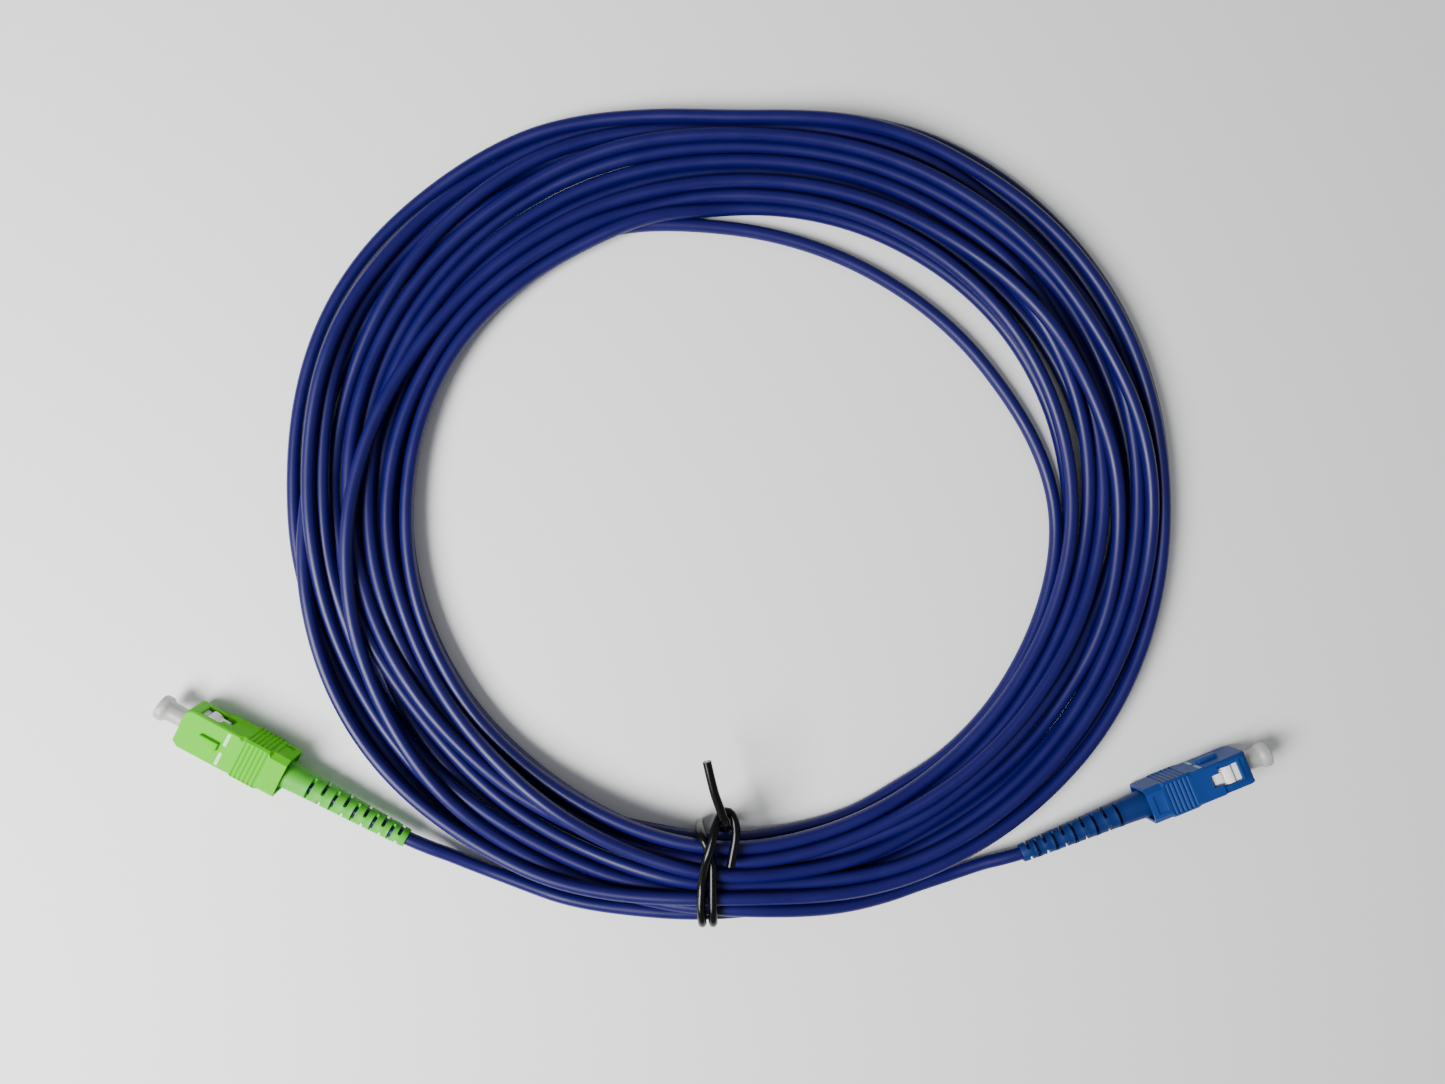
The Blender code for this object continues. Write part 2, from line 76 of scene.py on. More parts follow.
# One row for each turn: how far it lies from the coil's centre every 30 degrees, anticlockwise from the tie
# at 270, and how high it is piled at the same places, in half layers.
TURNS = (
    ((85.0, 87.5, 94.0, 97.5, 98.5, 95.5, 88.5, 92.0, 93.2, 90.4, 88.6, 86.0), "000000001310"),
    ((81.0, 83.0, 88.0, 90.4, 89.3, 84.5, 81.0, 82.3, 82.5, 81.5, 82.6, 81.5), "000002220000"),
    ((77.0, 77.5, 80.5, 87.5, 87.5, 83.5, 80.0, 85.5, 89.8, 92.0, 93.0, 87.5), "222010000134"),
    ((81.5, 88.0, 94.5, 96.5, 97.0, 93.0, 87.0, 94.0, 98.0, 94.5, 91.0, 88.9), "432223311000"),
    ((84.0, 86.0, 91.0, 94.5, 96.0, 92.5, 83.0, 88.0, 91.8, 87.5, 85.5, 82.0), "000000000212"),
    ((82.0, 84.0, 87.5, 90.5, 92.0, 90.5, 85.5, 88.5, 87.9, 86.0, 80.0, 78.5), "222121122122"),
    ((79.0, 85.0, 89.5, 93.0, 90.0, 86.5, 83.0, 84.3, 84.9, 82.0, 77.0, 74.0), "433343322212"),
    ((74.0, 74.5, 77.5, 82.5, 84.5, 81.5, 78.2, 78.5, 79.3, 78.0, 75.5, 73.0), "233112222210"),
    ((73.0, 74.5, 76.0, 79.6, 81.5, 79.5, 76.5, 76.0, 76.5, 76.0, 76.0, 77.0), "001220000000"),
    ((78.0, 77.5, 79.5, 82.0, 80.5, 76.5, 73.5, 73.5, 74.0, 73.5, 72.5, 72.0), "000001100000"),
    ((70.5, 71.0, 72.5, 73.0, 66.5, 63.0, 64.0, 70.0, 71.5, 71.5, 70.5, 70.0), "000000000000"),
    ((72.5, 73.5, 75.0, 76.1, 75.0, 71.5, 68.5, 68.0, 70.0, 70.0, 70.0, 69.5), "100000012222"),
    ((71.0, 71.5, 73.0, 75.6, 75.5, 73.0, 70.5, 70.5, 73.0, 74.0, 72.5, 73.0), "222222222234"),
    ((76.5, 80.0, 84.6, 86.0, 82.0, 77.0, 73.5, 73.5, 76.5, 81.5, 85.0, 85.5), "444454444532"),
)
COIL_START = ((98.0, 91.8), "00")     # the 210 and 240 degree places before the first turn
COIL_END = ((84.0, 92.2, 98.5), "200")  # the 270, 300 and 330 degree places after the last
FIRST_ANGLE = 240.0
STATION_STEP = 30.0
ANGLE_STEP = 1.5
ROUTE_STRIDE = 2             # steps of the coil from one point of the cord's route to the next
LAYER = 2.6                  # rise from one layer to the next
SETTLE_ROUNDS = 600
LANE_PULL = 0.12             # share of the way back to its lane that a turn moves each round
SINK = 0.02                  # mm that a turn sinks each round
CONTACT = CORD_DIAMETER * 1.01
FAR_AWAY = 1e6               # where a turn that isn't there lies, so that nothing touches it
CROSSING_LEVELS = 0.8        # half layers apart from which one turn must stay above the other
CROSSING_REACH = 0.75        # share of the contact distance within which that holds
CROSSING_RISE = 0.3 * CORD_DIAMETER
PUSH_SPREAD = 12             # rounds of smoothing that spread each push along the stiff cord
PUSH_ACROSS = 1.1
PUSH_UP = 2.2
PUSH_LIMIT = 0.3
HEIGHT_SPREAD = 2            # rounds of smoothing of the height
TIE_ANGLE = 267.7            # where the tie goes round the bundle
TIE_HALF_ANGLE = 2.2
TIE_RAMP = 12.0              # degrees either side over which the turns come down off the tie
TIE_WIRE = 1.9               # thickness of the tie's coated wire
CURVE_STEPS = 24             # fine steps between two given points of a smooth path

LEAD_GREEN = ((-63.5, -14.3, 3.6), (-59.3, -16.2, 2.7), (-55.1, -18.2, 2.0), (-50.2, -20.3, 1.6))
LEAD_BLUE = ((61.5, -18.4, 3.5), (58.3, -19.4, 2.7), (54.3, -20.9, 2.0), (50.5, -22.3, 1.6))

# Grip, the outer sleeve: depth, half width, half height and corner cut of its outside
GRIP_SECTIONS = ((0.0, 3.6, 3.65, 0.3), (1.3, 3.7, 4.5, 0.3), (12.2, 3.7, 4.5, 0.3), (13.1, 3.9, 4.65, 0.9),
                 (13.9, 3.95, 4.7, 0.45), (19.4, 3.95, 4.7, 0.45), (20.0, 3.95, 4.7, 1.15),
                 (23.8, 3.95, 4.7, 1.15))
GRIP_FLAT_INSET = 0.14                    # from a flat's edge to where its groove begins
GRIP_GROOVES = (14.2, 1.0, 6, 0.34, 0.3)  # first groove, pitch, count, half width, depth
GROOVE_SHARES = (-1.0, -0.7, -0.35, 0.0, 0.35, 0.7, 1.0)  # places across a groove, in half widths
GRIP_CAVITY = ((-1.0, 3.1, 3.7, 0.3), (12.4, 3.1, 3.7, 0.3), (12.8, 3.3, 4.05, 0.6), (25.0, 3.3, 4.05, 0.6))
OUTSIDE = 6.0                            # a height and half width clear of the grip on every side
GRIP_CORE = 3.0                          # half height that is hollow all along the grip
BEFORE_FRONT = -1.0                      # a depth clear of the front
WINDOW = (2.55, 7.1, 2.05)               # from, to and half width
WINDOW_SLOT = (6.9, 9.2, 1.3)
WINDOW_LEDGE = (2.75, 4.05)              # half width and height of the sunk ledge on the key's side of it
SIDE_SLOPE = ((-1.9, 4.05), (-3.0, 4.05), (-3.4, 3.95), (-3.6, 3.8), (-3.9, 3.6), (-5.0, 3.6), (-5.0, 6.0),
              (-1.9, 6.0))               # what is cut off beside the window, on the side away from the key
NOSE_LIP = (2.0, 2.7, 4.22)              # depth behind, half width and height of the lowered lip
KEY_RIB = (4.7, 9.2, 1.0, 0.8)           # from, to, half width and height over the key face
KEY_ROOT = 0.5                           # how deep the key is let into the grip's wall
KEY_MARKS = (9.9, 10.6, 0.85, 3.85)      # from, to, inner and outer half height of the pale marks
MARK_ROOT = 0.1                          # how deep the marks are let in
MARK_HEIGHT = 0.02
PANEL = (20.3, 22.6, 2.1, 0.22)          # from, to, half width and depth of the sunk panel

# Plug frame: the rails' top line along the depth, and the body under them
RAIL_LINE = ((1.35, 3.1), (1.6, 3.4), (4.5, 3.4), (4.6, 3.0), (4.8, 3.0), (4.9, 3.6), (5.15, 3.85),
             (5.6, 3.93), (6.2, 3.9), (6.8, 3.7), (7.3, 3.35), (7.5, 3.2), (19.2, 3.2))
RAIL_HALF = 1.88
FRAME_BODY = (1.35, 19.2, 2.8, 2.55)
FRAME_TAB = (7.3, 9.6, 1.15, 3.75)
FRAME_BORE = ((0.0, -1.0), (2.2, -1.0), (2.2, 7.0), (1.55, 7.0), (1.55, 8.0), (2.3, 8.0), (2.3, 20.0),
              (0.0, 20.0))

# Dust cap: (radius, depth) round its section, from the closed end to the mouth and back inside
CAP_PROFILE = ((0.0, -5.25), (2.15, -5.25), (2.45, -5.17), (2.66, -4.98), (2.75, -4.7), (2.75, -3.85),
               (2.68, -3.5), (2.48, -3.2), (2.24, -2.95), (2.1, -2.6), (2.04, -2.1), (2.03, 0.7), (1.75, 0.9),
               (1.75, 3.9), (1.48, 3.9), (1.48, -3.6), (1.3, -3.9), (0.0, -4.0))

# Spring: the depths of its ends, and its mean radius
SPRING_ENDS = (10.8, 15.3)
SPRING_RADIUS = 1.6
SPRING_WIRE_RADIUS = 0.18
SPRING_TURNS = 5
SPRING_STEPS = 24

# Boot: (radius, depth) of its outside and its bore, and the depths of its cuts
BOOT_OUTLINE = ((2.85, 21.6), (3.0, 21.9), (3.05, 25.0), (2.8, 29.5), (1.98, 53.8), (1.85, 54.1))
BOOT_BORE = ((1.62, 54.1), (1.62, 28.7), (2.4, 28.4), (2.4, 21.6))
BOOT_CUTS_A = (31.2, 36.8, 41.8, 46.3, 50.45)
BOOT_CUTS_B = (34.1, 39.4, 44.1, 48.4, 52.3)
BOOT_CUT_WIDTH = 0.78
BOOT_BRIDGE_HALF = 0.75                  # half width of the rubber left between a pair of cuts
BOOT_OUT = 4.0                           # a radius clear of the boot
BOOT_RIM = (0.06, 0.7)                   # height and half length of the raised rims beside each cut
RIM_SHAPE = ((-1.0, 0.0), (-0.75, 0.8), (0.75, 0.8), (1.0, 0.0))  # shares of that length and height
RIM_CREST = 0.2                          # from a cut's middle to the highest place of its rim

# Wire tie: one run of coated wire, twice round the bundle, hooked on its own tail
TIE_RADIUS = 0.95
TIE_CORE_RADIUS = 0.28
TIE_CORE_OUT = 0.06                      # how far the steel stands out of the cut ends
TIE_SPACING = 0.8                        # between the points of the tie's curve
TIE_ROUTE = (
    (1.3, -16.8, 12.1), (1.8, -14.0, 12.1), (2.4, -10.4, 12.2), (2.3, -7.7, 11.8), (1.6, -6.0, 11.4),
    (0.5, -5.3, 11.2), (-0.8, -5.8, 11.8), (-1.7, -7.3, 12.9), (-2.3, -9.4, 13.8), (-3.0, -12.0, 14.1),
    (-3.8, -14.6, 13.9), (-4.4, -17.4, 12.9), (-4.8, -20.9, 12.1), (-5.0, -24.4, 12.1), (-4.8, -27.2, 11.8),
    (-4.6, -29.2, 10.2), (-4.6, -29.9, 7.0), (-4.6, -29.9, 4.0), (-4.6, -29.3, 1.9), (-4.6, -27.3, 1.1),
    (-4.7, -20.0, 1.0), (-4.8, -13.3, 1.0), (-4.9, -10.6, 1.6), (-5.0, -9.6, 4.0), (-5.1, -9.6, 8.0),
    (-4.9, -10.2, 11.0), (-4.1, -11.6, 12.1), (-3.3, -13.6, 12.1), (-2.6, -16.2, 12.1), (-2.5, -20.0, 12.1),
    (-2.5, -23.7, 12.1), (-2.4, -27.2, 11.8), (-2.3, -29.2, 10.2), (-2.3, -29.9, 7.0), (-2.3, -29.9, 4.0),
    (-2.3, -29.3, 1.9), (-2.2, -27.3, 1.1), (-1.4, -20.0, 1.0), (-0.1, -13.3, 1.0), (0.5, -10.8, 1.6),
    (0.8, -9.6, 3.6), (0.9, -9.3, 6.4), (0.8, -9.2, 9.4), (0.4, -8.2, 11.8), (0.0, -6.9, 13.3),
    (-0.6, -5.2, 14.0), (-1.4, -2.9, 14.3), (-2.1, -0.9, 14.6), (-3.0, 2.6, 15.0), (-3.8, 6.1, 15.3))

SHARP_EDGE = math.radians(34)            # edges that turn more than this are eased
EASE_STEPS = 2

# Camera: where it is, how far it is turned to look aside, and its lens
CAMERA_PLACE = (-10.4, 51.8, 241.0)
CAMERA_TILT = 2.5
CAMERA_LENS = 27.03

# The floor, in metres: its half width, and its middle a hair under the object
FLOOR_HALF = 1.5
FLOOR_PLACE = (0.0, 0.05, -0.00005)


# ---------------------------------------------------------------- the coil

def smooth_values(knots, per_span):
    """Catmull-Rom values between the second and the last but one of evenly spaced knots."""
    knots = np.asarray(knots, float)
    a, b, c, d = knots[:-3], knots[1:-2], knots[2:-1], knots[3:]
    t = (np.arange(per_span) / per_span)[:, None]
    spans = 0.5 * (2 * b + (c - a) * t + (2 * a - 5 * b + 4 * c - d) * t ** 2
                   + (3 * b - a - 3 * c + d) * t ** 3)
    return np.append(spans.T.ravel(), knots[-2])


def blurred(values, rounds):
    """Values smoothed along the cord, with the ends held."""
    values = values.copy()
    for _ in range(rounds):
        values[1:-1] += 0.5 * (0.5 * (values[:-2] + values[2:]) - values[1:-1])
    return values


def settle_coil():
    """Angle, radius and height of the cord's centre line round the coil. Each turn starts in its lane. Turns
    that overlap then push each other apart, and all of them sink on to the floor."""
    radii = list(COIL_START[0]) + [r for lane, _ in TURNS for r in lane] + list(COIL_END[0])
    levels = COIL_START[1] + "".join(pile for _, pile in TURNS) + COIL_END[1]
    per_span = round(STATION_STEP / ANGLE_STEP)
    wanted = smooth_values(radii, per_span)
    level = smooth_values([float(n) for n in levels], per_span)
    count = len(wanted)
    columns = round(360 / ANGLE_STEP)
    rows = -(-count // columns)
    angles = FIRST_ANGLE + ANGLE_STEP * np.arange(count)
    off_tie = np.abs((angles - TIE_ANGLE + 180) % 360 - 180)
    hump = 0.5 + 0.5 * np.cos(np.pi * np.clip((off_tie - TIE_HALF_ANGLE) / TIE_RAMP, 0.0, 1.0))
    floor = CORD_DIAMETER / 2 + TIE_WIRE * hump
    radius = wanted.copy()
    height = np.maximum(CORD_DIAMETER / 2 + level * LAYER / 2, floor)

    def grid(values, fill):
        full = np.full(rows * columns, fill)
        full[:count] = values
        return full.reshape(rows, columns)

    order = grid(level, 0.0)
    for _ in range(SETTLE_ROUNDS):
        radius += LANE_PULL * (wanted - radius)
        height -= SINK
        across = grid(radius, FAR_AWAY)
        up = grid(height, 0.0)
        move_across = np.zeros_like(across)
        move_up = np.zeros_like(up)
        for apart in range(1, rows):
            dr = across[apart:] - across[:-apart]
            dz = up[apart:] - up[:-apart]
            above = order[apart:] - order[:-apart]
            side = np.sign(above)
            # One turn stays above the other where they cross, whatever the push did before
            crossing = (np.abs(above) > CROSSING_LEVELS) & (np.abs(dr) < CROSSING_REACH * CONTACT)
            slipped = crossing & (side * dz < CROSSING_RISE)
            dz = np.where(slipped, side * CROSSING_RISE, dz)
            gap = np.maximum(np.hypot(dr, dz), 1e-6)
            push = np.where(gap < CONTACT, CONTACT - gap, 0.0) * 0.5 / gap
            move_across[apart:] += push * dr
            move_across[:-apart] -= push * dr
            move_up[apart:] += push * dz
            move_up[:-apart] -= push * dz
        # A stiff cord spreads each push along itself
        shift = PUSH_ACROSS * blurred(move_across.ravel()[:count], PUSH_SPREAD)
        lift = PUSH_UP * blurred(move_up.ravel()[:count], PUSH_SPREAD)
        radius += np.clip(shift, -PUSH_LIMIT, PUSH_LIMIT)
        height += np.clip(lift, -PUSH_LIMIT, PUSH_LIMIT)
        radius = wanted + blurred(radius - wanted, 1)
        height = np.maximum(blurred(height, HEIGHT_SPREAD), floor)
    return np.radians(angles), radius, blurred(height, HEIGHT_SPREAD)


def plug_matrix(side):
    """The frame of a plug's grip, in metres."""
    place = PLUGS[side]
    turn = Matrix.Rotation(math.radians(place["heading"]), 4, "Z")
    turn = turn @ Matrix.Rotation(-math.radians(place["pitch"]), 4, "Y")
    turn = turn @ Matrix.Rotation(math.radians(place["roll"]), 4, "X")
    return Matrix.Translation(Vector(place["front"]) * MM) @ turn


def fixed_matrix(side):
    """The frame of everything fixed to the cord, which stands forward of a grip that is pulled back."""
    return plug_matrix(side) @ Matrix.Translation((PLUGS[side]["grip_back"] * MM, 0.0, 0.0))


def along_plug(side, depth):
    """A point on a plug's axis, in millimetres."""
    return (fixed_matrix(side) @ Vector((-depth * MM, 0.0, 0.0))) / MM


def smooth_path(points, spacing):
    """Points a spacing apart on a Catmull-Rom curve through the given points."""
    points = np.asarray(points, float)
    points = np.vstack([2 * points[0] - points[1], points, 2 * points[-1] - points[-2]])
    fine = np.stack([smooth_values(points[:, axis], CURVE_STEPS) for axis in range(3)], 1)
    walked = np.append(0.0, np.cumsum(np.linalg.norm(np.diff(fine, axis=0), axis=1)))
    wanted = np.linspace(0.0, walked[-1], max(2, round(walked[-1] / spacing)) + 1)
    return np.stack([np.interp(wanted, walked, fine[:, axis]) for axis in range(3)], 1)


def cord_route():
    """The whole cord from inside the green boot to inside the blue one, in millimetres."""
    angles, radius, height = settle_coil()
    coil = np.stack([COIL_CENTRE[0] + radius * np.cos(angles), COIL_CENTRE[1] + radius * np.sin(angles),
                     height], 1)
    ends = {}
    for side, route in (("green", LEAD_GREEN), ("blue", LEAD_BLUE)):
        ends[side] = [tuple(along_plug(side, depth)) for depth in IN_BOOT] + list(route)
    thinned = coil[ROUTE_STRIDE:-ROUTE_STRIDE:ROUTE_STRIDE]
    return smooth_path(np.vstack([ends["green"], thinned, ends["blue"][::-1]]), CORD_SPACING)


def link(name, data):
    """A new object in the scene."""
    thing = bpy.data.objects.new(name, data)
    bpy.context.scene.collection.objects.link(thing)
    return thing


def tube(name, points, radius, sides=16):
    """A round wire or cord through points in millimetres, as one open curve."""
    curve = bpy.data.curves.new(name, "CURVE")
    curve.dimensions = "3D"
    curve.bevel_depth = radius * MM
    curve.bevel_resolution = sides // 4
    curve.use_fill_caps = True
    spline = curve.splines.new("POLY")
    spline.points.add(len(points) - 1)
    flat = np.hstack([np.asarray(points) * MM, np.ones((len(points), 1))])
    spline.points.foreach_set("co", flat.ravel())
    spline.use_smooth = True
    return link(name, curve)


# ---------------------------------------------------------------- mesh work, in a plug's frame

def built(name, build):
    """A mesh object made by a bmesh function."""
    mesh = bpy.data.meshes.new(name)
    work = bmesh.new()
    build(work)
    bmesh.ops.recalc_face_normals(work, faces=work.faces)
    work.to_mesh(mesh)
    work.free()
    return link(name, mesh)


def add_block(work, depth, y_range, z_range, rounded=0.0):
    """A box between two depths, with its edges rounded."""
    size = Vector((depth[1] - depth[0], y_range[1] - y_range[0], z_range[1] - z_range[0])) * MM
    middle = Vector((-sum(depth) / 2, sum(y_range) / 2, sum(z_range) / 2)) * MM
    made = bmesh.ops.create_cube(work, size=1.0)["verts"]
    bmesh.ops.scale(work, vec=size, verts=made)
    bmesh.ops.translate(work, vec=middle, verts=made)
    if rounded:
        edges = list({edge for vert in made for edge in vert.link_edges})
        bmesh.ops.bevel(work, geom=edges, offset=rounded * MM, segments=3, profile=0.5, affect="EDGES")


def add_loft(work, rings):
    """A closed solid through rings of (depth, y, z) points, one after another."""
    loops = [[work.verts.new((-depth * MM, y * MM, z * MM)) for depth, y, z in ring] for ring in rings]
    for before, after in zip(loops, loops[1:]):
        for i, vert in enumerate(before):
            j = (i + 1) % len(before)
            work.faces.new((vert, before[j], after[j], after[i]))
    work.faces.new(loops[0])
    work.faces.new(list(reversed(loops[-1])))


def add_turned(work, profile, steps=48):
    """A turned solid whose (radius, depth) profile runs round its section, or from axis to axis."""
    rings = []
    for radius, depth in profile:
        if radius:
            turns = [2 * math.pi * k / steps for k in range(steps)]
            rings.append([work.verts.new((-depth * MM, radius * MM * math.cos(t), radius * MM * math.sin(t)))
                          for t in turns])
        else:
            rings.append([work.verts.new((-depth * MM, 0.0, 0.0))] * steps)
    pairs = list(zip(rings, rings[1:]))
    if profile[0][0]:
        pairs.append((rings[-1], rings[0]))
    for before, after in pairs:
        for i in range(steps):
            j = (i + 1) % steps
            corners = list(dict.fromkeys((before[i], before[j], after[j], after[i])))
            if len(corners) > 2:
                work.faces.new(corners)


def carve(thing, build, operation="DIFFERENCE"):
    """Cuts a shape out of a mesh object, or joins it on."""
    cutter = built(f"{thing.name}_cutter", build)
    modifier = thing.modifiers.new("carve", "BOOLEAN")
    modifier.operation = operation
    modifier.object = cutter
    bpy.context.view_layer.update()
    shape = bpy.data.meshes.new_from_object(thing.evaluated_get(bpy.context.evaluated_depsgraph_get()))
    thing.modifiers.clear()
    before = thing.data
    thing.data = shape
    bpy.data.meshes.remove(before)
    bpy.data.objects.remove(cutter)


def finish_piece(thing, matrix, body, node, material, ease=0.0):
    """Places a plug piece, eases its edges, ties it to its body and its finish, and hides the CAD node it
    stands in for.
    """
    thing.data.materials.clear()
    thing.data.materials.append(material)
    thing.data.shade_smooth()
    thing.data.set_sharp_from_angle(angle=SHARP_EDGE)
    if ease:
        bevel = thing.modifiers.new("ease", "BEVEL")
        bevel.width = ease * MM
        bevel.segments = EASE_STEPS
        bevel.limit_method = "ANGLE"
        bevel.angle_limit = SHARP_EDGE
        bevel.harden_normals = True
    thing.matrix_world = matrix
    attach(thing, body)
    if node:
        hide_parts(node)
    return thing


# ---------------------------------------------------------------- plug pieces

def sleeve_ring(depth, half_y, half_z, cut, dip=0.0):
    """One cross-section of a sleeve: four flats, each with a sunk middle, and cut corners."""
    def flat(half, reach):
        sunk = reach - GRIP_FLAT_INSET
        return ((half, -reach), (half - dip, -sunk), (half - dip, sunk), (half, reach))

    ring = [(y, z) for y, z in flat(half_y, half_z - cut)]
    ring += [(-y, z) for z, y in flat(half_z, half_y - cut)]
    ring += [(-y, -z) for y, z in flat(half_y, half_z - cut)]
    ring += [(y, -z) for z, y in flat(half_z, half_y - cut)]
    return [(depth, y, z) for y, z in ring]


def grip_rings():
    """The grip's outside: its sections, with the finger grooves between them."""
    first, pitch, count, half_width, deep = GRIP_GROOVES
    depths, *measures = zip(*GRIP_SECTIONS)
    dips = dict.fromkeys(depths, 0.0)
    for k in range(count):
        for share in GROOVE_SHARES:
            dips[first + k * pitch + share * half_width] = deep * (0.5 + 0.5 * math.cos(math.pi * share))
    rings = []
    for depth in sorted(dips):
        sizes = [float(np.interp(depth, depths, measure)) for measure in measures]
        rings.append(sleeve_ring(depth, *sizes, dips[depth]))
    return rings


def make_grip(side):
    """The coupling sleeve, hollow, with its key, windows and rear panels."""
    grip = built(f"{side}_push_grip", lambda work: add_loft(work, grip_rings()))

    def key(work):
        start, end, half_width, height = KEY_RIB
        base = GRIP_SECTIONS[1][1]
        add_block(work, (start, end), (base - KEY_ROOT, base + height), (-half_width, half_width), 0.3)

    def opening(start, end, half_width):
        """The same opening on the +Z and the -Z side."""
        def blocks(work):
            for up in (1, -1):
                through = sorted((up * GRIP_CORE, up * OUTSIDE))
                add_block(work, (start, end), (-half_width, half_width), through, 0.12)
        return blocks

    def hollows(work):
        start, end, half_width, deep = PANEL
        lip_end, lip_half, lip_top = NOSE_LIP
        ledge_half, ledge_top = WINDOW_LEDGE
        panel_floor = GRIP_SECTIONS[-1][2] - deep
        shapes = (((start, end), (-half_width, half_width), panel_floor),
                  ((BEFORE_FRONT, lip_end), (-lip_half, lip_half), lip_top),
                  (WINDOW[:2], (0.0, ledge_half), ledge_top))
        for up in (1, -1):
            for depth, width, low in shapes:
                add_block(work, depth, width, sorted((up * low, up * OUTSIDE)), 0.1)

    def side_slopes(work):
        for up in (1, -1):
            ends = (BEFORE_FRONT, WINDOW[1])
            add_loft(work, [[(depth, y, up * z) for y, z in SIDE_SLOPE] for depth in ends])

    carve(grip, key, "UNION")
    carve(grip, lambda work: add_loft(work, [sleeve_ring(*section) for section in GRIP_CAVITY]))
    carve(grip, opening(*WINDOW))
    carve(grip, opening(*WINDOW_SLOT))
    carve(grip, hollows)
    carve(grip, side_slopes)
    finish_piece(grip, plug_matrix(side), f"{side}_grip", f"{side}_grip",
                 LOOKS[f"{side}_plastic"], ease=0.09)


def make_key_marks(side):
    """The two pale marks across the key face."""
    start, end, inner, outer = KEY_MARKS
    base = GRIP_SECTIONS[1][1]

    def marks(work):
        for low, high in ((inner, outer), (-outer, -inner)):
            add_block(work, (start, end), (base - MARK_ROOT, base + MARK_HEIGHT), (low, high))

    finish_piece(built(f"{side}_key_marks", marks), plug_matrix(side), f"{side}_grip", None,
                 LOOKS[f"{side}_marks"], ease=0.01)


def make_plug_frame(side):
    """The white frame inside the grip, with its rails, its latch tabs and a bore for the ferrule."""
    start, end, half_y, half_z = FRAME_BODY
    tab_start, tab_end, tab_half, tab_top = FRAME_TAB
    frame_piece = built(f"{side}_inner_frame",
                        lambda work: add_block(work, (start, end), (-half_y, half_y), (-half_z, half_z)))

    def rails(work):
        """The rails' outline on both sides, as a slab across the frame."""
        outline = list(RAIL_LINE) + [(depth, -height) for depth, height in reversed(RAIL_LINE)]
        add_loft(work, [[(depth, y, z) for depth, z in outline] for y in (-RAIL_HALF, RAIL_HALF)])

    def tab(work):
        add_block(work, (tab_start, tab_end), (-tab_half, tab_half), (-tab_top, tab_top), 0.25)

    carve(frame_piece, rails, "UNION")
    carve(frame_piece, tab, "UNION")
    carve(frame_piece, lambda work: add_turned(work, FRAME_BORE))
    finish_piece(frame_piece, fixed_matrix(side), ROOT_BODY, f"{side}_plug_frame",
                 LOOKS["frame_plastic"], ease=0.09)


def make_cap(side):
    """The dust cap over the ferrule."""
    cap = built(f"{side}_cap", lambda work: add_turned(work, CAP_PROFILE))
    finish_piece(cap, fixed_matrix(side), f"{side}_dust_cap", f"{side}_dust_cap",
                 LOOKS["cap_plastic"], ease=0.06)


def make_spring(side):
    """The spring behind the ferrule's flange, as a fixed coil of wire."""
    start, end = SPRING_ENDS
    points = []
    for step in range(SPRING_TURNS * SPRING_STEPS + 1):
        angle = 2 * math.pi * step / SPRING_STEPS
        depth = start + (end - start) * step / (SPRING_TURNS * SPRING_STEPS)
        points.append((-depth, SPRING_RADIUS * math.cos(angle), SPRING_RADIUS * math.sin(angle)))
    wire = tube(f"{side}_spring_wire", points, SPRING_WIRE_RADIUS)
    spring = link(f"{side}_spring", bpy.data.meshes.new_from_object(wire))
    bpy.data.objects.remove(wire)
    place = fixed_matrix(side)
    finish_piece(spring, place, ROOT_BODY, f"{side}_ferrule_spring", LOOKS["steel"])
    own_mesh(spring)


def boot_outside(cuts):
    """The boot's outer profile, a taper with a low rim on both sides of every cut."""
    radii, depths = zip(*BOOT_OUTLINE)
    rim, reach = BOOT_RIM
    profile = {depth: radius for radius, depth in BOOT_OUTLINE}
    shape = [(reach * along, share) for along, share in RIM_SHAPE] + [(-RIM_CREST, 1.0), (RIM_CREST, 1.0)]
    for cut in cuts:
        for away, share in shape:
            depth = cut + away
            profile[depth] = float(np.interp(depth, depths, radii)) + rim * share
    return [(profile[depth], depth) for depth in sorted(profile)]


def make_boot(side):
    """The strain relief. The blue one is a quarter turn round from the green one."""
    outside = boot_outside(BOOT_CUTS_A + BOOT_CUTS_B)
    boot = built(f"{side}_strain_relief", lambda work: add_turned(work, outside + list(BOOT_BORE)))
    half = BOOT_CUT_WIDTH / 2
    cuts_y, cuts_z = (BOOT_CUTS_A, BOOT_CUTS_B) if side == "green" else (BOOT_CUTS_B, BOOT_CUTS_A)

    def slits(work):
        for side_way in (1, -1):
            limits = sorted((side_way * BOOT_BRIDGE_HALF, side_way * BOOT_OUT))
            for depth in cuts_y:
                add_block(work, (depth - half, depth + half), limits, (-BOOT_OUT, BOOT_OUT), 0.3)
            for depth in cuts_z:
                add_block(work, (depth - half, depth + half), (-BOOT_OUT, BOOT_OUT), limits, 0.3)

    carve(boot, slits)
    finish_piece(boot, fixed_matrix(side), ROOT_BODY, f"{side}_boot",
                 LOOKS[f"{side}_rubber"], ease=0.1)


def make_tie():
    """The tie's coating, and its steel core, which stands out a little at both cut ends."""
    path = smooth_path(TIE_ROUTE, TIE_SPACING)
    jacket = tube("tie_coating", path, TIE_RADIUS, sides=24)

    def beyond(end, before):
        return end + (end - before) / np.linalg.norm(end - before) * TIE_CORE_OUT

    core_path = np.vstack([beyond(path[0], path[1]), path, beyond(path[-1], path[-2])])
    core = tube("tie_core", core_path, TIE_CORE_RADIUS, sides=12)
    for thing, node, slot in ((jacket, "tie_jacket", "tie_plastic"), (core, "tie_wire", "steel")):
        thing.data.materials.append(LOOKS[slot])
        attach(thing, ROOT_BODY)
        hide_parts(node)


# ---------------------------------------------------------------- materials

